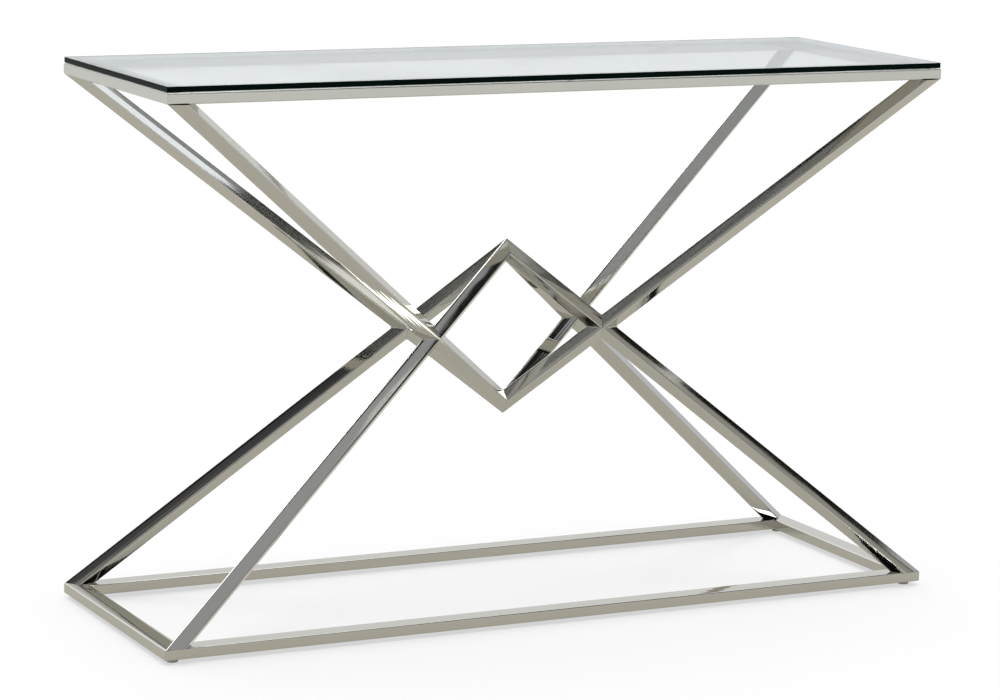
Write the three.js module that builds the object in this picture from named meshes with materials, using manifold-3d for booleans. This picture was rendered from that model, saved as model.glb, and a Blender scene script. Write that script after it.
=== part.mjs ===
// Console table: a clear glass top on a frame of polished stainless steel tube.
// Two flat rectangular frames, one under the glass and one on the floor, are joined by eight
// inclined square bars. The four upper bars run down to one tip on the middle axis and the four
// lower bars run up to another, so that they cross in pairs and make a diamond in the middle.
// Millimetres. X is the length, Y the depth (the front is -Y), Z is up, and the origin is on the
// floor under the middle of the table.
import * as THREE from 'three';
import { mergeVertices } from 'three/addons/utils/BufferGeometryUtils.js';
import Module from 'manifold-3d';

const wasm = await Module();
wasm.setup();

// Overall sizes
const table_length = 1200;
const table_depth = 400;
const table_height = 780;

// Glass top and the clear pads that it lies on
const glass_thickness = 8;
const glass_corner_radius = 3;
const glass_arris = 0.8;
const pad_radius = 6;
const pad_thickness = 1;
const pad_inset = 15;

// Rectangular tube of the two frames, laid flat
const rail_width = 30;
const rail_height = 15;
const rail_wall = 1.2;
const rail_edge_radius = 1.5;

// Square tube of the inclined bars, turned so that one edge points up
const bar_side = 20;
const bar_wall = 1.2;
const bar_edge_radius = 1.5;

// Heights of the diamond's two tips above the floor, on the middle axis
const lower_tip_height = 265;
const upper_tip_height = 524;

// Levelling feet
const foot_clearance = 6;
const foot_inset = 17;
const foot_pad_radius = 8;
const foot_pad_height = 4.6;
const foot_pad_chamfer = 0.8;
const stud_radius = 3.8;
const stud_length = 14;
const stud_chamfer = 0.8;
const stud_socket_floor = 1.6;
const stud_fit = 0.2;
const bush_radius = 5.5;
const bush_length = 8;
const bush_flange_radius = 7;
const bush_flange_thickness = 0.8;
const bush_fit = 0.3;

// The joint between two welded pieces
const weld_gap = 0.3;

// How far a cutting block reaches past everything
const cut_reach = 2 * (table_length + table_depth + table_height);

const round_steps = 24;
const edge_steps = 1;

const base_bottom = foot_clearance;
const base_top = base_bottom + rail_height;
const glass_bottom = table_height - glass_thickness;
const top_frame_top = glass_bottom - pad_thickness;
const top_frame_bottom = top_frame_top - rail_height;

const steel = { color: 0xc9c7bf, metalness: 1, roughness: 0.12 };
const glass = { color: 0xbfd9d2, metalness: 0, roughness: 0.03, transparent: true, opacity: 0.35 };
const clear_vinyl = { color: 0xe6ebe9, metalness: 0, roughness: 0.35 };
const zinc_steel = { color: 0xb4b6b8, metalness: 1, roughness: 0.3 };
const nylon = { color: 0xb9b8b2, metalness: 0, roughness: 0.5 };

const table = new THREE.Group();

function add_piece(name, geometry, finish) {
  const mesh = new THREE.Mesh(geometry, new THREE.MeshStandardMaterial(finish));
  mesh.name = name;
  table.add(mesh);
  return mesh;
}

// A closed mesh as a solid that can be cut, and a solid as a mesh again
function to_solid(geometry) {
  const bare = geometry.clone();
  bare.deleteAttribute('normal');
  bare.deleteAttribute('uv');
  const merged = mergeVertices(bare, 1e-4);
  return new wasm.Manifold(new wasm.Mesh({
    numProp: 3,
    vertProperties: new Float32Array(merged.attributes.position.array),
    triVerts: new Uint32Array(merged.index.array),
  }));
}

function to_geometry(solid) {
  const mesh = solid.getMesh();
  const geometry = new THREE.BufferGeometry();
  geometry.setAttribute('position', new THREE.BufferAttribute(mesh.vertProperties, 3));
  geometry.setIndex(new THREE.BufferAttribute(mesh.triVerts, 1));
  geometry.computeVertexNormals();
  return geometry;
}

function cut_away(geometry, cutters) {
  let solid = to_solid(geometry);
  for (const cutter of cutters) {
    solid = solid.subtract(to_solid(cutter));
  }
  return to_geometry(solid);
}

// Everything past the plane through a point, on the side that the normal points to
function everything_past(point, normal) {
  const block = new THREE.BoxGeometry(cut_reach, cut_reach, cut_reach);
  block.translate(0, 0, cut_reach / 2);
  const up = new THREE.Vector3(0, 0, 1);
  const facing = normal.clone().normalize();
  block.applyQuaternion(new THREE.Quaternion().setFromUnitVectors(up, facing));
  block.translate(point.x, point.y, point.z);
  return block;
}

function rounded_outline(path, width, height, radius) {
  const x = width / 2 - radius;
  const y = height / 2 - radius;
  path.absarc(x, y, radius, 0, Math.PI / 2);
  path.absarc(-x, y, radius, Math.PI / 2, Math.PI);
  path.absarc(-x, -y, radius, Math.PI, Math.PI * 1.5);
  path.absarc(x, -y, radius, Math.PI * 1.5, Math.PI * 2);
  path.closePath();
  return path;
}

// A tube's section, as drawn: the outer outline with the bore as a hole in it
function tube_section(width, height, edge_radius, wall) {
  const section = rounded_outline(new THREE.Shape(), width, height, edge_radius);
  const bore_radius = Math.max(edge_radius - wall, edge_radius / 4);
  section.holes.push(rounded_outline(new THREE.Path(), width - 2 * wall, height - 2 * wall, bore_radius));
  return section;
}

function turned_piece(profile) {
  const points = profile.map(([radius, height]) => new THREE.Vector2(radius, height));
  const geometry = new THREE.LatheGeometry(points, round_steps);
  geometry.rotateX(Math.PI / 2);
  return geometry;
}

function round_bar(radius, bottom, top) {
  return turned_piece([[0, bottom], [radius, bottom], [radius, top], [0, top]]);
}

// The four corners, as signs of X and Y
const corners = [
  { name: 'front_left', sx: -1, sy: -1 },
  { name: 'front_right', sx: 1, sy: -1 },
  { name: 'back_left', sx: -1, sy: 1 },
  { name: 'back_right', sx: 1, sy: 1 },
];

// A frame rail lies along X with its outer face on y = 0, its inner face on y = rail_width and
// its underside on z = 0. Both ends are mitred at 45 degrees to meet the next rail.
function frame_rail(length, with_foot_holes) {
  const section = tube_section(rail_width, rail_height, rail_edge_radius, rail_wall);
  const tube = new THREE.ExtrudeGeometry(section, {
    depth: length,
    bevelEnabled: false,
    curveSegments: edge_steps,
  });
  tube.rotateZ(Math.PI / 2);
  tube.rotateY(Math.PI / 2);
  tube.rotateX(Math.PI);
  tube.translate(-length / 2, 0, 0);
  tube.computeBoundingBox();
  tube.translate(0, -tube.boundingBox.min.y, -tube.boundingBox.min.z);
  const cutters = [-1, 1].map((end) => everything_past(
    new THREE.Vector3(end * (length / 2 - weld_gap * Math.SQRT1_2), 0, 0),
    new THREE.Vector3(end, 1, 0),
  ));
  if (with_foot_holes) {
    for (const end of [-1, 1]) {
      const hole = round_bar(bush_radius + bush_fit, -rail_wall, 2 * rail_wall);
      hole.translate(end * (length / 2 - foot_inset), foot_inset, 0);
      cutters.push(hole);
    }
  }
  return cut_away(tube, cutters);
}

function add_frame(prefix, height, with_foot_holes) {
  const sides = [
    { name: 'front', length: table_length, turn: 0, x: 0, y: -table_depth / 2 },
    { name: 'right', length: table_depth, turn: Math.PI / 2, x: table_length / 2, y: 0 },
    { name: 'back', length: table_length, turn: Math.PI, x: 0, y: table_depth / 2 },
    { name: 'left', length: table_depth, turn: -Math.PI / 2, x: -table_length / 2, y: 0 },
  ];
  for (const side of sides) {
    const rail = add_piece(`${prefix}_${side.name}`, frame_rail(side.length, with_foot_holes), steel);
    rail.rotation.z = side.turn;
    rail.position.set(side.x, side.y, height);
  }
}

add_frame('top_rail', top_frame_bottom, false);
add_frame('base_rail', base_bottom, true);

// Each corner's bars lie in the upright plane through the middle axis and that corner. In that
// plane r runs out from the axis. The outer edge of a bar starts at the frame's corner and ends
// on the axis, at the tip.
function in_corner_plane(corner, r, z) {
  const angle = Math.atan2(corner.sy * table_depth, corner.sx * table_length);
  return new THREE.Vector3(r * Math.cos(angle), r * Math.sin(angle), z);
}

const corner_reach = Math.hypot(table_length, table_depth) / 2;
const half_diagonal = bar_side * Math.SQRT1_2;

// The middle line of a bar, from the middle axis outwards. inward is 1 where the bar's body lies
// above its outer edge, and -1 where it lies below.
function bar_line(tip_height, frame_height, inward) {
  const length = Math.hypot(corner_reach, frame_height - tip_height);
  const along = { r: corner_reach / length, z: (frame_height - tip_height) / length };
  const across = { r: -along.z * inward, z: along.r * inward };
  const start = { r: across.r * half_diagonal, z: tip_height + across.z * half_diagonal };
  return { start, along, across, length };
}

const upper_line = bar_line(lower_tip_height, top_frame_bottom, 1);
const lower_line = bar_line(upper_tip_height, base_top, -1);

// How far along a line it crosses the other one
function crossing_distance(line, other) {
  const dr = other.start.r - line.start.r;
  const dz = other.start.z - line.start.z;
  const turn = line.along.r * other.along.z - line.along.z * other.along.r;
  return (dr * other.along.z - dz * other.along.r) / turn;
}

// The length of bar, past each end of its line, that the cuts at its ends trim off
const bar_overrun = 3 * bar_side;

// A bar with a given section in one corner's plane, between two distances along its line
function bar_blank(corner, line, section, from, to) {
  const blank = new THREE.ExtrudeGeometry(section, {
    depth: to - from,
    bevelEnabled: false,
    curveSegments: edge_steps,
  });
  blank.rotateZ(Math.PI / 4);
  const z_axis = in_corner_plane(corner, line.along.r, line.along.z);
  const x_axis = in_corner_plane(corner, line.across.r, line.across.z);
  const y_axis = new THREE.Vector3().crossVectors(z_axis, x_axis);
  const r = line.start.r + line.along.r * from;
  const z = line.start.z + line.along.z * from;
  const place = new THREE.Matrix4().makeBasis(x_axis, y_axis, z_axis);
  place.setPosition(in_corner_plane(corner, r, z));
  return blank.applyMatrix4(place);
}

// The two planes through the middle axis on which four bars meet at a tip
function tip_cuts(corner) {
  return [
    everything_past(new THREE.Vector3(corner.sx * weld_gap / 2, 0, 0), new THREE.Vector3(-corner.sx, 0, 0)),
    everything_past(new THREE.Vector3(0, corner.sy * weld_gap / 2, 0), new THREE.Vector3(0, -corner.sy, 0)),
  ];
}

const bar_section = tube_section(bar_side, bar_side, bar_edge_radius, bar_wall);
const cope_side = bar_side + 2 * weld_gap;
const cope_section = rounded_outline(new THREE.Shape(), cope_side, cope_side, bar_edge_radius + weld_gap);
const up = new THREE.Vector3(0, 0, 1);
const down = new THREE.Vector3(0, 0, -1);

for (const corner of corners) {
  const under_top_frame = everything_past(new THREE.Vector3(0, 0, top_frame_bottom - weld_gap), up);
  const over_base_frame = everything_past(new THREE.Vector3(0, 0, base_top + weld_gap), down);
  const crossing = crossing_distance(lower_line, upper_line);
  const upper_end = upper_line.length + bar_overrun;
  const lower_end = lower_line.length + bar_overrun;

  // The upper leg runs through the crossing in one length, from the top frame to the lower tip
  const upper_leg = bar_blank(corner, upper_line, bar_section, -bar_overrun, upper_end);
  const leg = cut_away(upper_leg, [under_top_frame, ...tip_cuts(corner)]);
  add_piece(`upper_leg_${corner.name}`, leg, steel);

  // The lower leg and the diamond bar are coped to sit against the upper leg's faces
  const cope = bar_blank(corner, upper_line, cope_section, -bar_overrun, upper_end);
  const lower_leg = bar_blank(corner, lower_line, bar_section, crossing, lower_end);
  add_piece(`lower_leg_${corner.name}`, cut_away(lower_leg, [cope, over_base_frame]), steel);
  const diamond_bar = bar_blank(corner, lower_line, bar_section, -bar_overrun, crossing);
  add_piece(`diamond_bar_${corner.name}`, cut_away(diamond_bar, [cope, ...tip_cuts(corner)]), steel);
}

// Glass top, flush with the frame all round, with its edges ground to a small arris
const glass_outline = rounded_outline(
  new THREE.Shape(),
  table_length - 2 * glass_arris,
  table_depth - 2 * glass_arris,
  glass_corner_radius,
);
const glass_sheet = new THREE.ExtrudeGeometry(glass_outline, {
  depth: glass_thickness - 2 * glass_arris,
  bevelThickness: glass_arris,
  bevelSize: glass_arris,
  bevelSegments: 1,
  curveSegments: 3,
});
glass_sheet.translate(0, 0, glass_arris);
add_piece('glass_top', glass_sheet, glass).position.z = glass_bottom;

// Clear pads between the glass and the top frame: one at each corner and one in the middle of
// each long rail
const pad_x = table_length / 2 - pad_inset;
const pad_y = table_depth / 2 - pad_inset;
const pad_places = corners.map(({ name, sx, sy }) => ({ name, x: sx * pad_x, y: sy * pad_y }));
pad_places.push({ name: 'front_middle', x: 0, y: -pad_y });
pad_places.push({ name: 'back_middle', x: 0, y: pad_y });
for (const place of pad_places) {
  const pad = add_piece(`glass_pad_${place.name}`, round_bar(pad_radius, 0, pad_thickness), clear_vinyl);
  pad.position.set(place.x, place.y, top_frame_top);
}

// Levelling feet. A flanged bush is fixed in the underside of the base frame at each corner, a
// stud screws in it, and a pad on the end of the stud stands on the floor.
const stud_bottom = stud_socket_floor + stud_fit;
const bush_bottom = base_bottom - bush_flange_thickness;
const bush_top = base_bottom + bush_length;
for (const corner of corners) {
  const x = corner.sx * (table_length / 2 - foot_inset);
  const y = corner.sy * (table_depth / 2 - foot_inset);
  const bore = stud_radius + stud_fit;

  const bush = turned_piece([
    [bore, bush_bottom],
    [bush_flange_radius, bush_bottom],
    [bush_flange_radius, base_bottom],
    [bush_radius, base_bottom],
    [bush_radius, bush_top],
    [bore, bush_top],
    [bore, bush_bottom],
  ]);
  add_piece(`foot_bush_${corner.name}`, bush, zinc_steel).position.set(x, y, 0);

  const stud_top = stud_bottom + stud_length;
  const stud = turned_piece([
    [0, stud_bottom],
    [stud_radius - stud_chamfer, stud_bottom],
    [stud_radius, stud_bottom + stud_chamfer],
    [stud_radius, stud_top - stud_chamfer],
    [stud_radius - stud_chamfer, stud_top],
    [0, stud_top],
  ]);
  add_piece(`foot_stud_${corner.name}`, stud, zinc_steel).position.set(x, y, 0);

  const pad = turned_piece([
    [0, 0],
    [foot_pad_radius - foot_pad_chamfer, 0],
    [foot_pad_radius, foot_pad_chamfer],
    [foot_pad_radius, foot_pad_height - foot_pad_chamfer],
    [foot_pad_radius - foot_pad_chamfer, foot_pad_height],
    [bore, foot_pad_height],
    [bore, stud_socket_floor],
    [0, stud_socket_floor],
  ]);
  add_piece(`foot_pad_${corner.name}`, pad, nylon).position.set(x, y, 0);
}

export default table;
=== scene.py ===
import math
import bmesh
import bpy
from mathutils import Matrix, Vector


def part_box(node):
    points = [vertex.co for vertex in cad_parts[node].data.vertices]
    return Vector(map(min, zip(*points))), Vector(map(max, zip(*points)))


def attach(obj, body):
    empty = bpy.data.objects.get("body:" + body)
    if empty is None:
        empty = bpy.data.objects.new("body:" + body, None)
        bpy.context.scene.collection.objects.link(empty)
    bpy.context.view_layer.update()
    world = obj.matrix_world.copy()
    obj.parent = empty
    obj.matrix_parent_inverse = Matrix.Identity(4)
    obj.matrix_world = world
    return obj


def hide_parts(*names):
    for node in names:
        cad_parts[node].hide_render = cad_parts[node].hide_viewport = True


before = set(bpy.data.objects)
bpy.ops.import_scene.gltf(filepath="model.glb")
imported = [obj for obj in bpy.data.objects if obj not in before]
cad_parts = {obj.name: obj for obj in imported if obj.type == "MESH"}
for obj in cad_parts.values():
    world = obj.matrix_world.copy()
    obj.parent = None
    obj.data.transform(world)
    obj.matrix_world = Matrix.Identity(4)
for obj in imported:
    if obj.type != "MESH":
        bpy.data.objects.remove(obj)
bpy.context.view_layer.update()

# ---------------------------------------------------------------------------------------------
# Camera. It stands a little left of the table's front, above the height of the glass, and looks
# slightly down with a long lens. It comes before the pieces.
# ---------------------------------------------------------------------------------------------
camera_place = Vector((-2.2885, -4.5395, 1.2908))
camera_heading = math.radians(26.689)
camera_pitch = math.radians(10.389)
camera_roll = math.radians(1.2376)
camera_sensor = 36.0
camera_lens = 128.516

level_right = Vector((math.cos(camera_heading), -math.sin(camera_heading), 0))
level_ahead = Vector((math.sin(camera_heading), math.cos(camera_heading), 0))
looking = level_ahead * math.cos(camera_pitch) - Vector((0, 0, math.sin(camera_pitch)))
level_up = level_right.cross(looking)
camera_right = level_right * math.cos(camera_roll) + level_up * math.sin(camera_roll)
camera_up = level_up * math.cos(camera_roll) - level_right * math.sin(camera_roll)

bpy.ops.object.camera_add(location=camera_place)
camera = bpy.context.object
camera.name = "studio_camera"
camera.rotation_euler = Matrix((camera_right, camera_up, -looking)).transposed().to_euler()
camera.data.sensor_width = camera_sensor
camera.data.lens = camera_lens
camera.data.dof.use_dof = False
camera.data.clip_end = 200
bpy.context.scene.camera = camera

# ---------------------------------------------------------------------------------------------
# Top frame: four lengths of 30 x 15 mm stainless steel tube laid flat, mitred at 45 degrees,
# welded at the corners, ground flush and polished to a mirror.
# ---------------------------------------------------------------------------------------------
rail_width = 0.030
rail_height = 0.015
rail_wall = 0.0012
rail_edge_radius = 0.0015
round_edge_steps = 4
mitre_seam = 0.00006
flat_to_round_angle = math.radians(24)
one_face = math.cos(math.radians(4))
face_crown = 0.00006
face_strips = 8

steel_colour = (0.580, 0.572, 0.540, 1)
steel_colour_hazy = (0.545, 0.538, 0.508, 1)


def start_piece():
    """Leaves nothing selected, so that the next operator acts on the new piece alone."""
    if bpy.context.mode != "OBJECT":
        bpy.ops.object.mode_set(mode="OBJECT")
    bpy.ops.object.select_all(action="DESELECT")


def take_up(piece):
    start_piece()
    piece.select_set(True)
    bpy.context.view_layer.objects.active = piece


def select_faces(piece, wanted):
    """In edit mode, selects the faces that wanted(face) is true for, and nothing else."""
    bpy.ops.mesh.select_all(action="DESELECT")
    bpy.ops.mesh.select_mode(type="FACE")
    mesh = bmesh.from_edit_mesh(piece.data)
    for face in mesh.faces:
        face.select_set(bool(wanted(face)))
    bmesh.update_edit_mesh(piece.data)


def select_edges(piece, wanted):
    bpy.ops.mesh.select_all(action="DESELECT")
    bpy.ops.mesh.select_mode(type="EDGE")
    mesh = bmesh.from_edit_mesh(piece.data)
    for edge in mesh.edges:
        edge.select_set(bool(wanted(edge)))
    bmesh.update_edit_mesh(piece.data)


def runs_along(edge, axis):
    run = edge.verts[1].co - edge.verts[0].co
    return abs(abs(run.normalized()[axis]) - 1) < 1e-4


def crown_faces(tube, across, out, breadth, thickness):
    """Rolled tube is never quite flat: its two faces that are thickness apart, along the axis out,
    stand a hair proud in the middle of their breadth."""
    for strip in range(1, face_strips):
        place = breadth * (strip / face_strips - 0.5)
        normal = [0, 0, 0]
        normal[across] = 1
        point = [0, 0, 0]
        point[across] = place
        bpy.ops.mesh.select_all(action="SELECT")
        bpy.ops.mesh.bisect(
            plane_co=tube.matrix_world @ Vector(point),
            plane_no=tube.matrix_world.to_3x3() @ Vector(normal),
            threshold=1e-7,
        )
    mesh = bmesh.from_edit_mesh(tube.data)
    for vertex in mesh.verts:
        if abs(abs(vertex.co[out]) - thickness / 2) < 1e-6 and abs(vertex.co[across]) < breadth / 2:
            share = 1 - (2 * vertex.co[across] / breadth) ** 2
            vertex.co[out] += math.copysign(face_crown * share, vertex.co[out])
    bmesh.update_edit_mesh(tube.data)


def box_tube(name, middle, turn, length, width, height, wall, edge_radius):
    """A length of rectangular bar along its own X, with rounded long edges, and with an open bore
    if it has a wall thickness."""
    start_piece()
    bpy.ops.mesh.primitive_cube_add(size=1, location=middle, rotation=turn)
    tube = bpy.context.object
    tube.name = name
    tube.data.name = name
    tube.scale = (length, width, height)
    bpy.ops.object.transform_apply(location=False, rotation=False, scale=True)
    bpy.ops.object.mode_set(mode="EDIT")
    select_edges(tube, lambda edge: runs_along(edge, 0))
    bpy.ops.mesh.bevel(offset=edge_radius, segments=round_edge_steps, profile=0.5)
    crown_faces(tube, 1, 2, width - 2 * edge_radius, height)
    crown_faces(tube, 2, 1, height - 2 * edge_radius, width)
    if wall:
        select_faces(tube, lambda face: abs(face.normal.x) > 0.9)
        bpy.ops.mesh.inset(thickness=wall)
        bpy.ops.mesh.delete(type="ONLY_FACE")
        select_edges(tube, lambda edge: edge.is_boundary)
        bpy.ops.mesh.bridge_edge_loops()
    bpy.ops.mesh.select_all(action="SELECT")
    bpy.ops.mesh.normals_make_consistent(inside=False)
    bpy.ops.object.mode_set(mode="OBJECT")
    bpy.ops.object.transform_apply(location=True, rotation=True, scale=True)
    return tube


def saw(piece, point, away):
    """One straight saw cut through point: what lies on the side that away points to is cut off."""
    take_up(piece)
    bpy.ops.object.mode_set(mode="EDIT")
    bpy.ops.mesh.select_all(action="SELECT")
    bpy.ops.mesh.bisect(plane_co=point, plane_no=away, use_fill=True, clear_outer=True, threshold=1e-7)
    bpy.ops.object.mode_set(mode="OBJECT")


def cut_with(piece, cutter, operation="DIFFERENCE"):
    """Cuts the cutter's shape out of the piece, or joins it on, and takes the cutter away."""
    take_up(piece)
    change = piece.modifiers.new("cut", "BOOLEAN")
    change.operation = operation
    change.solver = "EXACT"
    change.object = cutter
    bpy.ops.object.modifier_apply(modifier=change.name)
    bpy.data.objects.remove(cutter)


def lay_grain(piece, along):
    """A map that follows the tube: u runs along its length and v across each face, in metres.
    Strips of one face share one way across, so that the grain runs on from strip to strip."""
    layer = piece.data.uv_layers.new(name="grain")
    ways = []
    for face in sorted(piece.data.polygons, key=lambda face: -face.area):
        across = along.cross(face.normal)
        if across.length < 0.1:
            across = Vector((0, 0, 1)) if abs(along.z) < 0.9 else Vector((1, 0, 0))
        across.normalize()
        shared = [way for way in ways if way.dot(across) > one_face]
        if shared:
            across = shared[0]
        else:
            ways.append(across)
        for corner in face.loop_indices:
            place = piece.data.vertices[piece.data.loops[corner].vertex_index].co
            layer.data[corner].uv = (place.dot(along), place.dot(across))


def smooth_edges(piece):
    """Rounded edges shade smoothly and run into flat faces that stay flat."""
    take_up(piece)
    bpy.ops.object.shade_smooth_by_angle(angle=flat_to_round_angle)
    weighting = piece.modifiers.new("flats", "WEIGHTED_NORMAL")
    weighting.keep_sharp = True
    weighting.weight = 100
    bpy.ops.object.modifier_apply(modifier=weighting.name)


def new_finish(name):
    finish = bpy.data.materials.new(name)
    finish.use_nodes = True
    return finish, finish.node_tree.nodes, finish.node_tree.links


def polished_steel_finish():
    """Mirror-polished stainless steel: fine polishing lines along the tube, a faint haze in places
    where the mop worked harder, and walls that are very slightly wavy, as thin tube is."""
    finish, nodes, links = new_finish("polished_steel")
    shader = nodes["Principled BSDF"]
    shader.inputs["Metallic"].default_value = 1.0
    place = nodes.new("ShaderNodeTexCoord")

    lines = nodes.new("ShaderNodeMapping")
    lines.inputs["Scale"].default_value = (14, 900, 1)
    links.new(place.outputs["UV"], lines.inputs["Vector"])
    line_noise = nodes.new("ShaderNodeTexNoise")
    line_noise.inputs["Scale"].default_value = 1.0
    line_noise.inputs["Detail"].default_value = 1.0
    links.new(lines.outputs["Vector"], line_noise.inputs["Vector"])

    haze_noise = nodes.new("ShaderNodeTexNoise")
    haze_noise.inputs["Scale"].default_value = 9.0
    haze_noise.inputs["Detail"].default_value = 4.0
    haze_noise.inputs["Roughness"].default_value = 0.6
    links.new(place.outputs["Object"], haze_noise.inputs["Vector"])

    line_gloss = nodes.new("ShaderNodeMapRange")
    line_gloss.inputs["From Min"].default_value = 0.3
    line_gloss.inputs["From Max"].default_value = 0.7
    line_gloss.inputs["To Min"].default_value = 0.025
    line_gloss.inputs["To Max"].default_value = 0.050
    links.new(line_noise.outputs["Fac"], line_gloss.inputs["Value"])
    haze_gloss = nodes.new("ShaderNodeMapRange")
    haze_gloss.inputs["From Min"].default_value = 0.45
    haze_gloss.inputs["From Max"].default_value = 0.75
    haze_gloss.inputs["To Min"].default_value = 0.0
    haze_gloss.inputs["To Max"].default_value = 0.035
    links.new(haze_noise.outputs["Fac"], haze_gloss.inputs["Value"])
    gloss = nodes.new("ShaderNodeMath")
    gloss.operation = "ADD"
    links.new(line_gloss.outputs["Result"], gloss.inputs[0])
    links.new(haze_gloss.outputs["Result"], gloss.inputs[1])
    links.new(gloss.outputs["Value"], shader.inputs["Roughness"])

    tone = nodes.new("ShaderNodeMix")
    tone.data_type = "RGBA"
    tone.inputs["A"].default_value = steel_colour
    tone.inputs["B"].default_value = steel_colour_hazy
    links.new(haze_noise.outputs["Fac"], tone.inputs["Factor"])
    links.new(tone.outputs["Result"], shader.inputs["Base Color"])

    wave_map = nodes.new("ShaderNodeMapping")
    wave_map.inputs["Scale"].default_value = (5, 28, 1)
    links.new(place.outputs["UV"], wave_map.inputs["Vector"])
    wave = nodes.new("ShaderNodeTexNoise")
    wave.inputs["Scale"].default_value = 1.0
    wave.inputs["Detail"].default_value = 0.0
    links.new(wave_map.outputs["Vector"], wave.inputs["Vector"])
    wavy = nodes.new("ShaderNodeBump")
    wavy.inputs["Strength"].default_value = 0.3
    wavy.inputs["Distance"].default_value = 0.0002
    links.new(wave.outputs["Fac"], wavy.inputs["Height"])
    links.new(wavy.outputs["Normal"], shader.inputs["Normal"])
    return finish


polished_steel = polished_steel_finish()


def finish_piece(piece, finish, body, nodes):
    """Gives a made piece its finish, hangs it on the body that carries it, and hides the CAD nodes that
    it stands for.
    """
    piece.data.materials.clear()
    piece.data.materials.append(finish)
    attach(piece, body)
    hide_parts(*nodes)
    return piece


def frame_rail(node, drill=None):
    """One rail of a frame, in the place of its CAD node, mitred at both ends."""
    low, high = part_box(node)
    middle = (low + high) / 2
    size = high - low
    runs_in_x = size.x > size.y
    turn = (0, 0, 0) if runs_in_x else (0, 0, math.pi / 2)
    length = max(size.x, size.y) + 0.02
    rail = box_tube(
        node + "_tube", middle, turn, length, rail_width, rail_height, rail_wall, rail_edge_radius
    )
    if runs_in_x:
        outward = Vector((0, math.copysign(1, middle.y), 0))
    else:
        outward = Vector((math.copysign(1, middle.x), 0, 0))
    along = Vector((1, 0, 0)) if runs_in_x else Vector((0, 1, 0))
    half = (frame_half_length if runs_in_x else frame_half_depth) - mitre_seam
    face = frame_half_depth if runs_in_x else frame_half_length
    for end in (-1, 1):
        corner = along * end * half + outward * face + Vector((0, 0, middle.z))
        saw(rail, corner, (along * end - outward).normalized())
    if drill:
        for cutter in drill():
            cut_with(rail, cutter)
    lay_grain(rail, along)
    smooth_edges(rail)
    return finish_piece(rail, polished_steel, "table", [node])


frame_half_length = -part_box("top_rail_left")[0].x
frame_half_depth = -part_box("top_rail_front")[0].y
for side in ("front", "right", "back", "left"):
    frame_rail("top_rail_" + side)


# ---------------------------------------------------------------------------------------------
# Base frame: the same tube and the same mitred corners, with a hole drilled up through the
# underside at each corner for the bush of a levelling foot.
# ---------------------------------------------------------------------------------------------
foot_hole_radius = 0.0058
foot_corners = ("front_left", "front_right", "back_left", "back_right")
base_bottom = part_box("base_rail_front")[0].z


def corner_signs(corner):
    return (1 if corner.endswith("right") else -1), (1 if corner.startswith("back") else -1)


def foot_drills():
    """A drill at each foot's place, reaching through the underside of the tube."""
    for corner in foot_corners:
        low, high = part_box("foot_bush_" + corner)
        middle = (low + high) / 2
        start_piece()
        bpy.ops.mesh.primitive_cylinder_add(
            vertices=48,
            radius=foot_hole_radius,
            depth=4 * rail_wall,
            location=(middle.x, middle.y, base_bottom),
        )
        yield bpy.context.object


for side in ("front", "right", "back", "left"):
    frame_rail("base_rail_" + side, drill=foot_drills)

# ---------------------------------------------------------------------------------------------
# Upper legs: four lengths of 20 mm square stainless steel tube, turned so that one edge points
# up. Each runs in one length from a corner of the top frame to the lower tip of the diamond,
# where the four are cut to two planes and welded together.
# ---------------------------------------------------------------------------------------------
bar_side = 0.020
bar_wall = 0.0012
bar_edge_radius = 0.0015
lower_tip_height = 0.265
upper_tip_height = 0.524
weld_seam = 0.00010
saw_allowance = 0.06
weld_bead_radius = 0.0009
weld_bead_rings = 3

half_diagonal = bar_side / math.sqrt(2)
corner_reach = math.hypot(frame_half_length, frame_half_depth)
top_frame_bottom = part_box("top_rail_front")[0].z
base_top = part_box("base_rail_front")[1].z


class BarLine:
    """The middle line of one bar: it lies in the upright plane through the table's middle axis and
    one corner. inward is 1 where the bar's body is above its outer edge, and -1 where it is below."""

    def __init__(self, corner, tip_height, frame_height, inward):
        sign_x, sign_y = corner_signs(corner)
        self.outwards = Vector((sign_x * frame_half_length, sign_y * frame_half_depth, 0)).normalized()
        run = self.outwards * corner_reach + Vector((0, 0, frame_height - tip_height))
        self.length = run.length
        self.along = run.normalized()
        self.sideways = self.along.cross(self.outwards).normalized()
        self.across = self.along.cross(self.sideways).normalized()
        if self.across.z * inward < 0:
            self.across = -self.across
        self.start = Vector((0, 0, tip_height)) + self.across * half_diagonal

    def at(self, distance):
        return self.start + self.along * distance

    def meets(self, other):
        """How far along this line it crosses the other one."""
        gap = other.start - self.start
        turn = self.along.cross(other.along)
        return gap.cross(other.along).dot(turn) / turn.length_squared


def bar_length(name, line, first, last, side, wall):
    face_way = (line.across + line.sideways).normalized()
    turn = Matrix((line.along, face_way, line.along.cross(face_way))).transposed().to_euler()
    middle = line.at((first + last) / 2)
    return box_tube(name, middle, turn, last - first, side, side, wall, bar_edge_radius)


def saw_at_tip(bar, corner):
    """The two cuts at a tip, along the planes in which the four bars meet."""
    sign_x, sign_y = corner_signs(corner)
    saw(bar, (sign_x * weld_seam, 0, 0), (-sign_x, 0, 0))
    saw(bar, (0, sign_y * weld_seam, 0), (0, -sign_y, 0))


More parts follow.
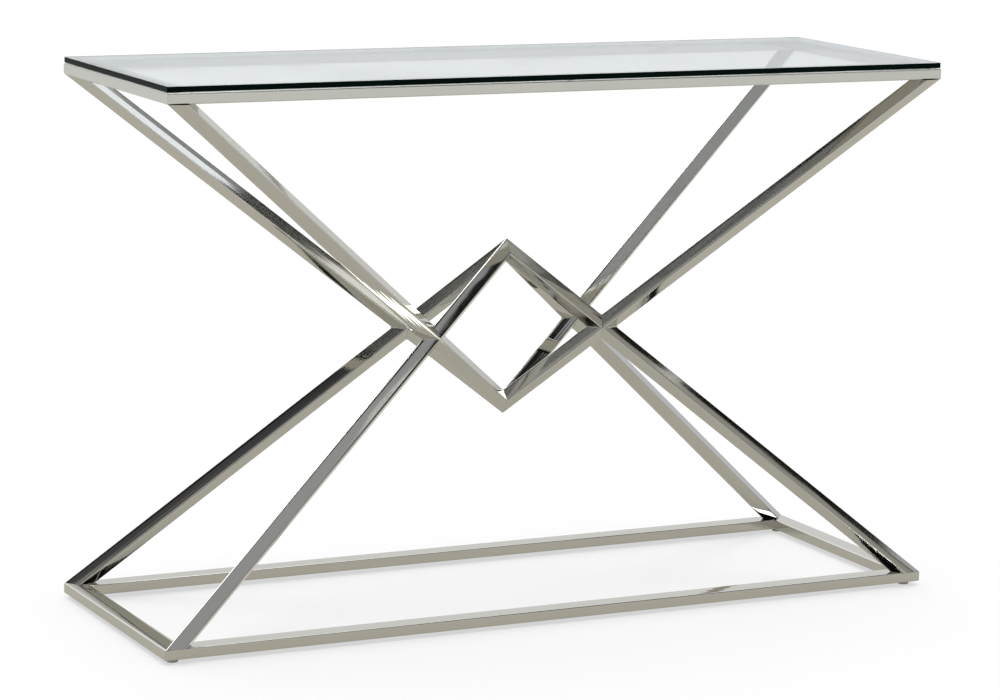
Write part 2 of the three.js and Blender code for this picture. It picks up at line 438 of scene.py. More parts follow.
def weld_bead(points, radius):
    """A bead of weld round a closed line of points, as a closed ring."""
    start_piece()
    bpy.ops.mesh.primitive_circle_add(vertices=len(points), radius=0.01, fill_type="NOTHING")
    bead = bpy.context.object
    bpy.ops.object.mode_set(mode="EDIT")
    mesh = bmesh.from_edit_mesh(bead.data)
    for vertex, point in zip(mesh.verts, points):
        vertex.co = point
    bmesh.update_edit_mesh(bead.data)
    bpy.ops.object.mode_set(mode="OBJECT")
    bpy.ops.object.convert(target="CURVE")
    bead.data.bevel_depth = radius
    bead.data.bevel_resolution = weld_bead_rings
    bpy.ops.object.convert(target="MESH")
    return bpy.context.object


def place_at_corners(first, kind, tip_height, frame_height, inward):
    """Copies the front left bar to the other corners, mirrored, and finishes all four."""
    bars = {"front_left": first}
    for corner in foot_corners[1:]:
        sign_x, sign_y = corner_signs(corner)
        take_up(first)
        bpy.ops.object.duplicate()
        copy = bpy.context.object
        copy.name = copy.data.name = kind + "_" + corner + "_tube"
        copy.scale = (-sign_x, -sign_y, 1)
        bpy.ops.object.transform_apply(location=False, rotation=False, scale=True)
        bpy.ops.object.mode_set(mode="EDIT")
        bpy.ops.mesh.select_all(action="SELECT")
        bpy.ops.mesh.normals_make_consistent(inside=False)
        bpy.ops.object.mode_set(mode="OBJECT")
        bars[corner] = copy
    for corner, bar in bars.items():
        lay_grain(bar, BarLine(corner, tip_height, frame_height, inward).along)
        smooth_edges(bar)
        finish_piece(bar, polished_steel, "table", [kind + "_" + corner])


upper_line = BarLine("front_left", lower_tip_height, top_frame_bottom, 1)
leg = bar_length(
    "upper_leg_front_left_tube",
    upper_line,
    -saw_allowance,
    upper_line.length + saw_allowance,
    bar_side,
    bar_wall,
)
saw(leg, (0, 0, top_frame_bottom - weld_seam), (0, 0, 1))
saw_at_tip(leg, "front_left")
place_at_corners(leg, "upper_leg", lower_tip_height, top_frame_bottom, 1)

# ---------------------------------------------------------------------------------------------
# Lower legs and diamond bars: the same square tube in two lengths to each corner. Each is coped
# to sit against the upper leg that it crosses, and a thin bead of weld, polished with the rest,
# runs along the joint.
# ---------------------------------------------------------------------------------------------
cope_room = 0.00004


def crossing_star(line, other, centre, side):
    """The line that a coped end makes on the leg it meets: from one side edge over the outer edge
    to the other side edge and back. side is 1 for the end nearer the frame's corner."""
    points = []
    turn = line.along.cross(other.along)
    for way in (1, -1):
        points.append(centre + line.sideways * way * half_diagonal)
        edge = line.across * way * half_diagonal
        for other_way in (1, -1):
            gap = other.across * other_way * half_diagonal - edge
            step = gap.cross(other.along).dot(turn) / turn.length_squared
            if step * side > 0:
                points.append(centre + edge + line.along * step)
    return points


def coped_bar(name, line, first, last, side):
    bar = bar_length(name, line, first, last, bar_side, bar_wall)
    bead = weld_bead(crossing_star(line, upper_line, line.at(crossing), side), weld_bead_radius)
    cut_with(bar, bead, "UNION")
    cutter = bar_length(
        name + "_cope",
        upper_line,
        -2 * saw_allowance,
        upper_line.length + 2 * saw_allowance,
        bar_side + 2 * cope_room,
        None,
    )
    cut_with(bar, cutter)
    return bar


lower_line = BarLine("front_left", upper_tip_height, base_top, -1)
crossing = lower_line.meets(upper_line)

leg = coped_bar("lower_leg_front_left_tube", lower_line, crossing, lower_line.length + saw_allowance, 1)
saw(leg, (0, 0, base_top + weld_seam), (0, 0, -1))
place_at_corners(leg, "lower_leg", upper_tip_height, base_top, -1)

bar = coped_bar("diamond_bar_front_left_tube", lower_line, -saw_allowance, crossing, -1)
saw_at_tip(bar, "front_left")
place_at_corners(bar, "diamond_bar", upper_tip_height, base_top, -1)

# ---------------------------------------------------------------------------------------------
# Glass pads: clear soft vinyl discs, 12 mm across and 1 mm thick, stuck on the top frame at its
# corners and in the middle of each long rail. The glass lies on them.
# ---------------------------------------------------------------------------------------------
glass_pad_rim = 0.0003
glass_pad_sides = 40


def clear_vinyl_finish():
    """Clear soft vinyl, very slightly cloudy, with a fine moulded texture."""
    finish, nodes, links = new_finish("clear_vinyl")
    shader = nodes["Principled BSDF"]
    shader.inputs["Transmission Weight"].default_value = 0.85
    shader.inputs["IOR"].default_value = 1.46
    place = nodes.new("ShaderNodeTexCoord")
    cloud = nodes.new("ShaderNodeTexNoise")
    cloud.inputs["Scale"].default_value = 900
    cloud.inputs["Detail"].default_value = 3.0
    links.new(place.outputs["Object"], cloud.inputs["Vector"])
    tone = nodes.new("ShaderNodeMix")
    tone.data_type = "RGBA"
    tone.inputs["A"].default_value = (0.90, 0.93, 0.92, 1)
    tone.inputs["B"].default_value = (0.80, 0.83, 0.81, 1)
    links.new(cloud.outputs["Fac"], tone.inputs["Factor"])
    links.new(tone.outputs["Result"], shader.inputs["Base Color"])
    soft = nodes.new("ShaderNodeMapRange")
    soft.inputs["To Min"].default_value = 0.22
    soft.inputs["To Max"].default_value = 0.42
    links.new(cloud.outputs["Fac"], soft.inputs["Value"])
    links.new(soft.outputs["Result"], shader.inputs["Roughness"])
    grain = nodes.new("ShaderNodeBump")
    grain.inputs["Strength"].default_value = 0.2
    grain.inputs["Distance"].default_value = 0.00005
    links.new(cloud.outputs["Fac"], grain.inputs["Height"])
    links.new(grain.outputs["Normal"], shader.inputs["Normal"])
    return finish


clear_vinyl = clear_vinyl_finish()


def is_rim(edge, height):
    """True for an edge of a turned piece's outline at a height."""
    return all(abs(vertex.co.z - height) < 1e-6 for vertex in edge.verts)


def copy_to(first, name, shift):
    """A copy of a piece with its own mesh, moved by shift in its mesh."""
    take_up(first)
    bpy.ops.object.duplicate()
    copy = bpy.context.object
    copy.name = copy.data.name = name
    copy.location = shift
    bpy.ops.object.transform_apply(location=True, rotation=False, scale=False)
    return copy


def middle_of(node):
    low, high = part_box(node)
    return (low + high) / 2


glass_pad_places = ("front_left", "front_right", "back_left", "back_right", "front_middle", "back_middle")
pad_low, pad_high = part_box("glass_pad_front_left")
start_piece()
bpy.ops.mesh.primitive_cylinder_add(
    vertices=glass_pad_sides,
    radius=(pad_high.x - pad_low.x) / 2,
    depth=pad_high.z - pad_low.z,
    location=(pad_low + pad_high) / 2,
)
first_pad = bpy.context.object
first_pad.name = "glass_pad_front_left_disc"
bpy.ops.object.transform_apply(location=True, rotation=True, scale=True)
bpy.ops.object.mode_set(mode="EDIT")
select_edges(first_pad, lambda edge: is_rim(edge, pad_low.z) or is_rim(edge, pad_high.z))
bpy.ops.mesh.bevel(offset=glass_pad_rim, segments=3, profile=0.5)
select_faces(first_pad, lambda face: abs(face.normal.z) > 0.99)
bpy.ops.mesh.inset(thickness=0.0008)
bpy.ops.object.mode_set(mode="OBJECT")
glass_pads = {"front_left": first_pad}
for place in glass_pad_places[1:]:
    shift = middle_of("glass_pad_" + place) - middle_of("glass_pad_front_left")
    glass_pads[place] = copy_to(first_pad, "glass_pad_" + place + "_disc", shift)
for place, pad in glass_pads.items():
    smooth_edges(pad)
    finish_piece(pad, clear_vinyl, "table", ["glass_pad_" + place])

# ---------------------------------------------------------------------------------------------
# Glass top: one sheet of 8 mm clear float glass, cut to the size of the frame, with slightly
# rounded corners and its edges ground to a small arris and polished.
# ---------------------------------------------------------------------------------------------
glass_corner_radius = 0.003
glass_corner_steps = 8
glass_arris = 0.0008
glass_tint = (0.42, 0.80, 0.70, 1)
glass_tint_density = 5.0


def clear_glass_finish():
    """Clear float glass: green through its thickness, polished, with a trace of wiping marks."""
    finish, nodes, links = new_finish("clear_glass")
    shader = nodes["Principled BSDF"]
    shader.inputs["Transmission Weight"].default_value = 1.0
    shader.inputs["IOR"].default_value = 1.52
    place = nodes.new("ShaderNodeTexCoord")
    marks = nodes.new("ShaderNodeTexNoise")
    marks.inputs["Scale"].default_value = 5.0
    marks.inputs["Detail"].default_value = 5.0
    marks.inputs["Distortion"].default_value = 0.8
    links.new(place.outputs["Object"], marks.inputs["Vector"])
    gloss = nodes.new("ShaderNodeMapRange")
    gloss.inputs["From Min"].default_value = 0.45
    gloss.inputs["From Max"].default_value = 0.8
    gloss.inputs["To Min"].default_value = 0.0
    gloss.inputs["To Max"].default_value = 0.06
    links.new(marks.outputs["Fac"], gloss.inputs["Value"])
    links.new(gloss.outputs["Result"], shader.inputs["Roughness"])
    tone = nodes.new("ShaderNodeMix")
    tone.data_type = "RGBA"
    tone.inputs["A"].default_value = (1.0, 1.0, 1.0, 1)
    tone.inputs["B"].default_value = (0.965, 0.985, 0.98, 1)
    links.new(marks.outputs["Fac"], tone.inputs["Factor"])
    links.new(tone.outputs["Result"], shader.inputs["Base Color"])
    depth = nodes.new("ShaderNodeVolumeAbsorption")
    depth.inputs["Color"].default_value = glass_tint
    depth.inputs["Density"].default_value = glass_tint_density
    links.new(depth.outputs["Volume"], nodes["Material Output"].inputs["Volume"])
    return finish


def glass_edge_finish():
    """The polished edge of the sheet, with a slightly uneven polish. Its colour is painted shade: deep
    green, nearly black, standing in for light that has run the length of the glass."""
    finish, nodes, links = new_finish("clear_glass_edge")
    shader = nodes["Principled BSDF"]
    shader.inputs["IOR"].default_value = 1.52
    shader.inputs["Specular IOR Level"].default_value = 0.02
    place = nodes.new("ShaderNodeTexCoord")
    polish = nodes.new("ShaderNodeTexNoise")
    polish.inputs["Scale"].default_value = 14.0
    polish.inputs["Detail"].default_value = 4.0
    links.new(place.outputs["Object"], polish.inputs["Vector"])
    # Painted shade: the edge's colour is set nearly black in place of the darkness of light run through
    # the glass
    tone = nodes.new("ShaderNodeMix")
    tone.data_type = "RGBA"
    tone.inputs["A"].default_value = (0.000, 0.002, 0.001, 1)
    tone.inputs["B"].default_value = (0.001, 0.008, 0.006, 1)
    links.new(polish.outputs["Fac"], tone.inputs["Factor"])
    links.new(tone.outputs["Result"], shader.inputs["Base Color"])
    gloss = nodes.new("ShaderNodeMapRange")
    gloss.inputs["To Min"].default_value = 0.10
    gloss.inputs["To Max"].default_value = 0.22
    links.new(polish.outputs["Fac"], gloss.inputs["Value"])
    links.new(gloss.outputs["Result"], shader.inputs["Roughness"])
    return finish


clear_glass = clear_glass_finish()
glass_edge = glass_edge_finish()

glass_low, glass_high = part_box("glass_top")
start_piece()
bpy.ops.mesh.primitive_cube_add(size=1, location=(glass_low + glass_high) / 2)
glass = bpy.context.object
glass.name = "glass_top_sheet"
glass.scale = glass_high - glass_low
bpy.ops.object.transform_apply(location=True, rotation=True, scale=True)
bpy.ops.object.mode_set(mode="EDIT")
select_edges(glass, lambda edge: runs_along(edge, 2))
bpy.ops.mesh.bevel(offset=glass_corner_radius, segments=glass_corner_steps, profile=0.5)
select_edges(glass, lambda edge: is_rim(edge, glass_low.z) or is_rim(edge, glass_high.z))
bpy.ops.mesh.bevel(offset=glass_arris, segments=2, profile=0.5)
bpy.ops.object.mode_set(mode="OBJECT")
smooth_edges(glass)
finish_piece(glass, clear_glass, "table", ["glass_top"])
glass.data.materials.append(glass_edge)
for face in glass.data.polygons:
    if abs(face.normal.z) < 0.5:
        face.material_index = 1
glass.visible_shadow = False

# ---------------------------------------------------------------------------------------------
# Foot bushes: turned steel nuts with a thin flange, zinc plated, pressed up into the holes in the
# base frame's underside. The studs of the feet screw in them.
# ---------------------------------------------------------------------------------------------
turned_sides = 48
bush_radius = 0.0055
bush_bore_radius = 0.0040
bush_flange_thickness = 0.0008
bush_rim = 0.0002


def zinc_steel_finish():
    """Bright zinc plate on turned steel: slightly bluish and patchy, with fine turning marks."""
    finish, nodes, links = new_finish("zinc_steel")
    shader = nodes["Principled BSDF"]
    shader.inputs["Metallic"].default_value = 1.0
    place = nodes.new("ShaderNodeTexCoord")
    patches = nodes.new("ShaderNodeTexNoise")
    patches.inputs["Scale"].default_value = 350
    patches.inputs["Detail"].default_value = 4.0
    links.new(place.outputs["Object"], patches.inputs["Vector"])
    tone = nodes.new("ShaderNodeMix")
    tone.data_type = "RGBA"
    tone.inputs["A"].default_value = (0.62, 0.64, 0.67, 1)
    tone.inputs["B"].default_value = (0.46, 0.47, 0.49, 1)
    links.new(patches.outputs["Fac"], tone.inputs["Factor"])
    links.new(tone.outputs["Result"], shader.inputs["Base Color"])
    gloss = nodes.new("ShaderNodeMapRange")
    gloss.inputs["To Min"].default_value = 0.18
    gloss.inputs["To Max"].default_value = 0.42
    links.new(patches.outputs["Fac"], gloss.inputs["Value"])
    links.new(gloss.outputs["Result"], shader.inputs["Roughness"])
    turning = nodes.new("ShaderNodeMapping")
    turning.inputs["Scale"].default_value = (60, 60, 5000)
    links.new(place.outputs["Object"], turning.inputs["Vector"])
    turning_marks = nodes.new("ShaderNodeTexNoise")
    turning_marks.inputs["Scale"].default_value = 1.0
    links.new(turning.outputs["Vector"], turning_marks.inputs["Vector"])
    marked = nodes.new("ShaderNodeBump")
    marked.inputs["Strength"].default_value = 0.15
    marked.inputs["Distance"].default_value = 0.00003
    links.new(turning_marks.outputs["Fac"], marked.inputs["Height"])
    links.new(marked.outputs["Normal"], shader.inputs["Normal"])
    return finish


zinc_steel = zinc_steel_finish()


def turned_blank(name, centre, radius, bottom, top):
    start_piece()
    bpy.ops.mesh.primitive_cylinder_add(
        vertices=turned_sides,
        radius=radius,
        depth=top - bottom,
        location=(centre.x, centre.y, (bottom + top) / 2),
    )
    blank = bpy.context.object
    blank.name = blank.data.name = name
    bpy.ops.object.transform_apply(location=True, rotation=True, scale=True)
    bpy.ops.object.mode_set(mode="EDIT")
    return blank


def faces_up_at(face, height):
    return abs(face.normal.z) > 0.99 and abs(face.calc_center_median().z - height) < 1e-6


def place_feet(first, kind, ending, finish, body=None):
    """Copies the front left foot's piece to the other corners and finishes all four."""
    pieces = {"front_left": first}
    for corner in foot_corners[1:]:
        shift = middle_of("foot_bush_" + corner) - middle_of("foot_bush_front_left")
        pieces[corner] = copy_to(first, kind + "_" + corner + ending, shift)
    for corner, piece in pieces.items():
        smooth_edges(piece)
        finish_piece(piece, finish, body or kind + "_" + corner, [kind + "_" + corner])


foot_middle = middle_of("foot_bush_front_left")
bush_low, bush_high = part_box("foot_bush_front_left")
flange_top = bush_low.z + bush_flange_thickness
flange_radius = (bush_high.x - bush_low.x) / 2
bush = turned_blank("foot_bush_front_left_nut", foot_middle, flange_radius, bush_low.z, flange_top)
select_faces(bush, lambda face: faces_up_at(face, flange_top))
bpy.ops.mesh.inset(thickness=flange_radius - bush_radius)
bpy.ops.mesh.extrude_region_move(TRANSFORM_OT_translate={"value": (0, 0, bush_high.z - flange_top)})
bpy.ops.mesh.inset(thickness=bush_radius - bush_bore_radius)
bpy.ops.mesh.delete(type="ONLY_FACE")
select_faces(bush, lambda face: faces_up_at(face, bush_low.z))
bpy.ops.mesh.inset(thickness=flange_radius - bush_bore_radius)
bpy.ops.mesh.delete(type="ONLY_FACE")
select_edges(bush, lambda edge: edge.is_boundary)
bpy.ops.mesh.bridge_edge_loops()
select_edges(bush, lambda edge: is_rim(edge, bush_low.z) or is_rim(edge, bush_high.z))
bpy.ops.mesh.bevel(offset=bush_rim, segments=2, profile=0.5)
bpy.ops.object.mode_set(mode="OBJECT")
place_feet(bush, "foot_bush", "_nut", zinc_steel, "table")

# ---------------------------------------------------------------------------------------------
# Foot studs: M8 threaded studs with a 1.25 mm pitch, zinc plated, chamfered at both ends. Each
# turns in its bush, and its lower end is fast in the foot's pad.
# ---------------------------------------------------------------------------------------------
thread_pitch = 0.00125
thread_depth = 0.00062
thread_flat = 0.00022
thread_steps = 32
stud_chamfer = 0.0008

stud_low, stud_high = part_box("foot_stud_front_left")
stud_radius = (stud_high.x - stud_low.x) / 2
thread_bottom = stud_low.z - 2 * thread_pitch
thread_turns = math.ceil((stud_high.z - stud_low.z) / thread_pitch) + 4
thread_root = stud_radius - thread_depth
thread_profile = (
    (thread_root, 0),
    (stud_radius, (thread_pitch - thread_flat) / 2),
    (stud_radius, (thread_pitch + thread_flat) / 2),
    (thread_root, thread_pitch),
)
start_piece()
bpy.ops.mesh.primitive_circle_add(vertices=len(thread_profile), radius=stud_radius, fill_type="NOTHING")
stud = bpy.context.object
stud.name = stud.data.name = "foot_stud_front_left_thread"
bpy.ops.object.mode_set(mode="EDIT")
last_vertex = len(thread_profile) - 1
select_edges(stud, lambda edge: {vertex.index for vertex in edge.verts} == {0, last_vertex})
bpy.ops.mesh.delete(type="EDGE")
thread_line = bmesh.from_edit_mesh(stud.data)
for vertex, (radius, rise) in zip(thread_line.verts, thread_profile):
    vertex.co = (radius, 0, thread_bottom + rise)
bmesh.update_edit_mesh(stud.data)
bpy.ops.object.mode_set(mode="OBJECT")
winding = stud.modifiers.new("thread", "SCREW")
winding.angle = 2 * math.pi
winding.screw_offset = thread_pitch
winding.iterations = thread_turns
winding.steps = winding.render_steps = thread_steps
winding.use_merge_vertices = True
winding.merge_threshold = 1e-6
bpy.ops.object.modifier_apply(modifier=winding.name)
stud.location = (foot_middle.x, foot_middle.y, 0)
bpy.ops.object.transform_apply(location=True, rotation=False, scale=False)
bpy.ops.object.mode_set(mode="EDIT")
bpy.ops.mesh.select_all(action="SELECT")
bpy.ops.mesh.remove_doubles(threshold=1e-6)
bpy.ops.object.mode_set(mode="OBJECT")
saw(stud, (0, 0, stud_low.z - thread_pitch / 2), (0, 0, -1))
saw(stud, (0, 0, stud_high.z + thread_pitch / 2), (0, 0, 1))
bpy.ops.object.mode_set(mode="EDIT")
bpy.ops.mesh.select_all(action="SELECT")
bpy.ops.mesh.normals_make_consistent(inside=False)
bpy.ops.object.mode_set(mode="OBJECT")
stud_blank = turned_blank("stud_blank", foot_middle, stud_radius + thread_flat, stud_low.z, stud_high.z)
select_edges(stud_blank, lambda edge: is_rim(edge, stud_low.z) or is_rim(edge, stud_high.z))
bpy.ops.mesh.bevel(offset=stud_chamfer + thread_flat, segments=1)
bpy.ops.object.mode_set(mode="OBJECT")
cut_with(stud, stud_blank, "INTERSECT")
place_feet(stud, "foot_stud", "_thread", zinc_steel)

# ---------------------------------------------------------------------------------------------
# Foot pads: moulded grey nylon, 16 mm across, with grip flutes round the rim and a socket for the
# stud. They stand on the floor.
# ---------------------------------------------------------------------------------------------
pad_socket_radius = 0.0040
pad_socket_floor = 0.0016
pad_chamfer = 0.0008
flute_every = 3
flute_margin = 0.00018
flute_depth = 0.00035


def grey_nylon_finish():
    """Pale grey moulded nylon, a little mottled, with the fine grain of the mould."""
    finish, nodes, links = new_finish("grey_nylon")
    shader = nodes["Principled BSDF"]
    shader.inputs["IOR"].default_value = 1.53
    place = nodes.new("ShaderNodeTexCoord")
    mottle = nodes.new("ShaderNodeTexNoise")
    mottle.inputs["Scale"].default_value = 260
    mottle.inputs["Detail"].default_value = 4.0
    links.new(place.outputs["Object"], mottle.inputs["Vector"])
    tone = nodes.new("ShaderNodeMix")
    tone.data_type = "RGBA"
    tone.inputs["A"].default_value = (0.50, 0.50, 0.47, 1)
    tone.inputs["B"].default_value = (0.34, 0.34, 0.32, 1)
    links.new(mottle.outputs["Fac"], tone.inputs["Factor"])
    links.new(tone.outputs["Result"], shader.inputs["Base Color"])
    gloss = nodes.new("ShaderNodeMapRange")
    gloss.inputs["To Min"].default_value = 0.38
    gloss.inputs["To Max"].default_value = 0.60
    links.new(mottle.outputs["Fac"], gloss.inputs["Value"])
    links.new(gloss.outputs["Result"], shader.inputs["Roughness"])
    grain = nodes.new("ShaderNodeTexNoise")
    grain.inputs["Scale"].default_value = 4200
    links.new(place.outputs["Object"], grain.inputs["Vector"])
    moulded = nodes.new("ShaderNodeBump")
    moulded.inputs["Strength"].default_value = 0.3
    moulded.inputs["Distance"].default_value = 0.00005
    links.new(grain.outputs["Fac"], moulded.inputs["Height"])
    links.new(moulded.outputs["Normal"], shader.inputs["Normal"])
    return finish


grey_nylon = grey_nylon_finish()


def on_flute(face):
    """True for every third of the upright faces round the pad."""
    if abs(face.normal.z) > 0.1:
        return False
    centre = face.calc_center_median() - foot_middle
    if math.hypot(centre.x, centre.y) < pad_socket_radius + 0.001:
        return False
    step = (math.atan2(centre.y, centre.x) / (2 * math.pi)) * turned_sides
    return math.floor(step) % flute_every == 0


foot_low, foot_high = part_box("foot_pad_front_left")
foot_radius = (foot_high.x - foot_low.x) / 2
foot_pad = turned_blank("foot_pad_front_left_moulding", foot_middle, foot_radius, foot_low.z, foot_high.z)
select_faces(foot_pad, lambda face: faces_up_at(face, foot_high.z))
bpy.ops.mesh.inset(thickness=foot_radius - pad_socket_radius)
bpy.ops.mesh.extrude_region_move(TRANSFORM_OT_translate={"value": (0, 0, pad_socket_floor - foot_high.z)})
select_edges(
    foot_pad,
    lambda edge: (is_rim(edge, foot_low.z) or is_rim(edge, foot_high.z))
    and (edge.verts[0].co - foot_middle).xy.length > foot_radius - 0.0001
    and (edge.verts[1].co - foot_middle).xy.length > foot_radius - 0.0001,
)
bpy.ops.mesh.bevel(offset=pad_chamfer, segments=3, profile=0.5)
select_faces(foot_pad, on_flute)
bpy.ops.mesh.inset(thickness=flute_margin, use_individual=True)
bpy.ops.mesh.inset(thickness=flute_margin / 2, depth=-flute_depth, use_individual=True)
bpy.ops.object.mode_set(mode="OBJECT")
place_feet(foot_pad, "foot_pad", "_moulding", grey_nylon)

# ---------------------------------------------------------------------------------------------
# Studio: a plain pale floor that glows softly, a bright band low all round, light behind and overhead,
# and dark space between. Light cards stand where the polished steel has its bands. Seen directly or
# through the glass, floor and backdrop are plain and pale, and differ from what the steel reflects.
# The floor that the steel reflects carries painted shade: it is darker and warmer near the table.
# ---------------------------------------------------------------------------------------------
floor_size = 120
floor_own_light = 2.0
floor_seen = (0.315, 0.315, 0.315, 1)
# Painted shade: the floor as the steel reflects it is darker and warmer near the table than far off
floor_painted_shade_near = (0.218, 0.212, 0.187, 1)
floor_glow_far = (0.268, 0.272, 0.264, 1)
floor_near_radius = 0.9
floor_far_radius = 4.0
floor_roughness = 0.9

start_piece()
bpy.ops.mesh.primitive_plane_add(size=floor_size, location=(0, 0, 0))
floor = bpy.context.object
floor.name = "studio_floor"
floor_finish, floor_nodes, floor_links = new_finish("studio_floor")
floor_shader = floor_nodes["Principled BSDF"]
floor_shader.inputs["Roughness"].default_value = floor_roughness
floor_shader.inputs["Specular IOR Level"].default_value = 0.0
ray = floor_nodes.new("ShaderNodeLightPath")
seen = floor_nodes.new("ShaderNodeMath")
seen.operation = "MAXIMUM"
floor_links.new(ray.outputs["Is Camera Ray"], seen.inputs[0])
floor_links.new(ray.outputs["Is Transmission Ray"], seen.inputs[1])
floor_place = floor_nodes.new("ShaderNodeTexCoord")
floor_reach = floor_nodes.new("ShaderNodeVectorMath")
floor_reach.operation = "LENGTH"
floor_links.new(floor_place.outputs["Object"], floor_reach.inputs[0])
floor_far = floor_nodes.new("ShaderNodeMapRange")
floor_far.interpolation_type = "SMOOTHSTEP"
floor_far.inputs["From Min"].default_value = floor_near_radius
floor_far.inputs["From Max"].default_value = floor_far_radius
floor_links.new(floor_reach.outputs["Value"], floor_far.inputs["Value"])
# Painted shade on the reflected floor: darker from floor_far_radius inwards, fully so inside
# floor_near_radius
floor_glow_and_painted_shade = floor_nodes.new("ShaderNodeMix")
floor_glow_and_painted_shade.data_type = "RGBA"
floor_glow_and_painted_shade.inputs["A"].default_value = floor_painted_shade_near
floor_glow_and_painted_shade.inputs["B"].default_value = floor_glow_far
floor_links.new(floor_far.outputs["Result"], floor_glow_and_painted_shade.inputs["Factor"])
floor_tone = floor_nodes.new("ShaderNodeMix")
floor_tone.data_type = "RGBA"
floor_links.new(floor_glow_and_painted_shade.outputs["Result"], floor_tone.inputs["A"])
floor_tone.inputs["B"].default_value = floor_seen
floor_links.new(seen.outputs["Value"], floor_tone.inputs["Factor"])
floor_links.new(floor_tone.outputs["Result"], floor_shader.inputs["Base Color"])
floor_links.new(floor_tone.outputs["Result"], floor_shader.inputs["Emission Color"])
floor_shader.inputs["Emission Strength"].default_value = floor_own_light
floor.data.materials.append(floor_finish)

world = bpy.data.worlds.new("studio")
bpy.context.scene.world = world
world.use_nodes = True
sky, sky_links = world.node_tree.nodes, world.node_tree.links
background = sky["Background"]


def sky_math(operation, first, second=None):
    node = sky.new("ShaderNodeMath")
    node.operation = operation
    for socket, value in ((node.inputs[0], first), (node.inputs[1], second)):
        if value is None:
            continue
        if isinstance(value, (int, float)):
            socket.default_value = value
        else:
            sky_links.new(value, socket)
    return node.outputs["Value"]


def sky_edge(value, start, end):
    """0 before start and 1 after end, with a soft step between them."""
    node = sky.new("ShaderNodeMapRange")
    node.interpolation_type = "SMOOTHSTEP"
    node.inputs["From Min"].default_value = start
    node.inputs["From Max"].default_value = end
    sky_links.new(value, node.inputs["Value"])
    return node.outputs["Result"]


def sky_mix(factor, under, over):
    node = sky.new("ShaderNodeMix")
    node.data_type = "RGBA"
    sky_links.new(factor, node.inputs["Factor"])
    for socket, value in ((node.inputs["A"], under), (node.inputs["B"], over)):
        if isinstance(value, tuple):
            socket.default_value = value + (1,)
        else:
            sky_links.new(value, socket)
    return node.outputs["Result"]


direction = sky.new("ShaderNodeTexCoord")
parts = sky.new("ShaderNodeSeparateXYZ")
sky_links.new(direction.outputs["Generated"], parts.inputs["Vector"])
half_turn = 180
to_degrees = half_turn / math.pi
turned = sky_math(
    "ARCTAN2",
    sky_math("MULTIPLY", parts.outputs["X"], -1),
    sky_math("MULTIPLY", parts.outputs["Y"], -1),
)
heading = sky_math("ADD", sky_math("MULTIPLY", turned, to_degrees), half_turn)
height = sky_math("MULTIPLY", sky_math("ARCSINE", parts.outputs["Z"]), to_degrees)

horizon_light = (0.68, 0.70, 0.73)
low_light = (0.86, 0.86, 0.85)
dark_space = (0.012, 0.012, 0.011)
overhead_light = (4.6, 4.6, 4.6)
back_light = (1.5, 1.5, 1.5)
seen_backdrop = (0.98, 0.98, 0.98)

# Where one light gives way to the next, as a start and an end in degrees of height or heading
low_light_from = (6, 10)
dark_from = (20, 24)
back_right_edge = (60, 75)
back_left_edge = (300, 315)
back_light_from = (18, 24)
overhead_from = (62, 70)
backdrop_up_to = (30, 40)
card_lean_height = 50

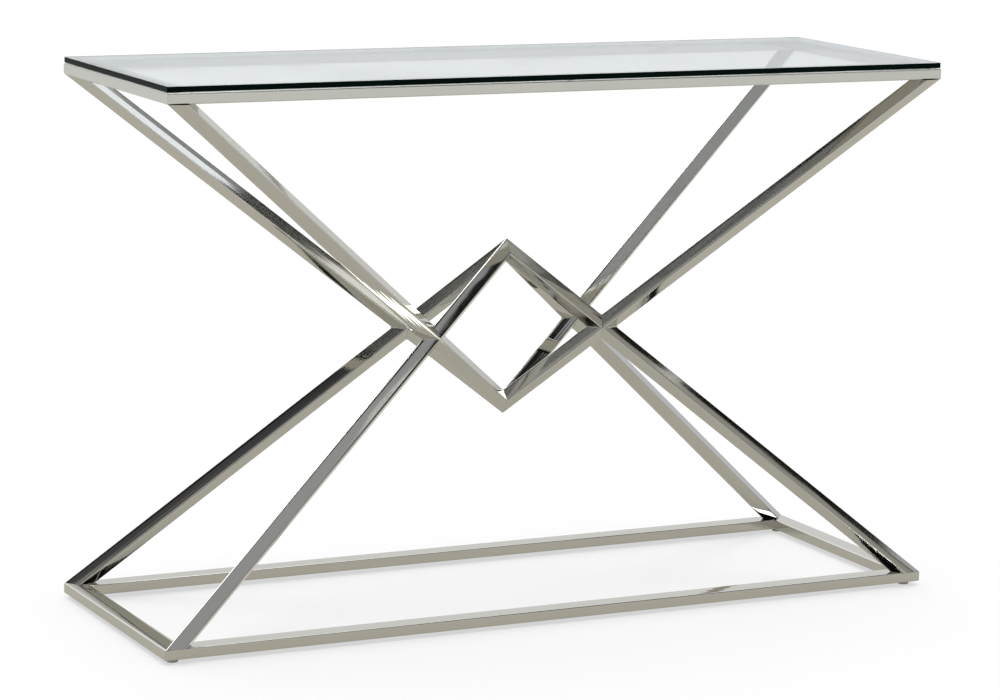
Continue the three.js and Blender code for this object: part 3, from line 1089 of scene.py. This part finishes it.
# Each card: colour, from heading, to heading, from height, to height, softness, all in degrees,
# and how far its upright edges lean, in degrees of heading to a degree above card_lean_height
sky_cards = (
    ((0.46, 0.465, 0.485), 171.8, 186, 44, 55.8, 0.25, 0),
    ((0.95, 0.95, 0.94), 172, 174.2, 53.2, 53.8, 0.3, 0),
    ((0.40, 0.41, 0.43), 169.8, 173.2, 55.8, 60, 0.3, 0),
    ((0.40, 0.41, 0.425), 146, 167, 52.5, 60, 0.5, 0),
    ((0.42, 0.41, 0.37), 110.7, 130, 27, 38.4, 0.3, 0),
    ((0.60, 0.61, 0.61), 100, 110, 24, 31.7, 0.3, 0),
    ((0.75, 0.75, 0.71), 104, 112, 36.1, 36.3, 0.15, 0),
    ((0.42, 0.42, 0.40), 100, 113, 39.1, 42, 0.2, 0),
    ((1.25, 1.23, 1.17), 112.6, 130, 39.5, 42.1, 0.3, 0),
    ((0.36, 0.37, 0.38), 105, 114, 44.2, 52, 0.2, 0),
    ((1.50, 1.55, 1.66), 113.0, 130, 44.3, 52, 0.3, 0),
    ((0.08, 0.08, 0.085), 235, 269, 38, 50, 0.8, 0.95),
    ((0.18, 0.18, 0.18), 235, 270.2, 50, 60, 0.8, 0.95),
    ((0.40, 0.40, 0.38), 235, 263.2, 38, 50, 0.5, 0.95),
    ((0.44, 0.44, 0.42), 235, 264.8, 50, 60, 0.9, 0.95),
)

light = sky_mix(sky_edge(height, *low_light_from), horizon_light, low_light)
light = sky_mix(sky_edge(height, *dark_from), light, dark_space)
sideways = sky_math(
    "SUBTRACT", sky_edge(heading, *back_right_edge), sky_edge(heading, *back_left_edge)
)
behind = sky_math(
    "MULTIPLY", sky_math("SUBTRACT", 1, sideways), sky_edge(height, *back_light_from)
)
light = sky_mix(behind, light, back_light)
light = sky_mix(sky_edge(height, *overhead_from), light, overhead_light)
for colour, left, right, bottom, top, soft, lean in sky_cards:
    above_lean = sky_math("SUBTRACT", height, card_lean_height)
    leaning = sky_math("ADD", heading, sky_math("MULTIPLY", above_lean, lean))
    left_edge = sky_edge(leaning, left - soft, left)
    right_edge = sky_edge(leaning, right + soft, right)
    inside = sky_math("MULTIPLY", left_edge, right_edge)
    inside = sky_math("MULTIPLY", inside, sky_edge(height, bottom - soft, bottom))
    inside = sky_math("MULTIPLY", inside, sky_edge(height, top + soft, top))
    light = sky_mix(inside, light, colour)
sight = sky.new("ShaderNodeLightPath")
sight_line = sky_math(
    "MAXIMUM", sight.outputs["Is Camera Ray"], sight.outputs["Is Transmission Ray"]
)
below = sky_math("SUBTRACT", 1, sky_edge(height, *backdrop_up_to))
light = sky_mix(sky_math("MULTIPLY", sight_line, below), light, seen_backdrop)
sky_links.new(light, background.inputs["Color"])

bpy.context.scene.view_settings.view_transform = "Standard"
bpy.context.scene.cycles.caustics_reflective = False
bpy.context.scene.cycles.caustics_refractive = False
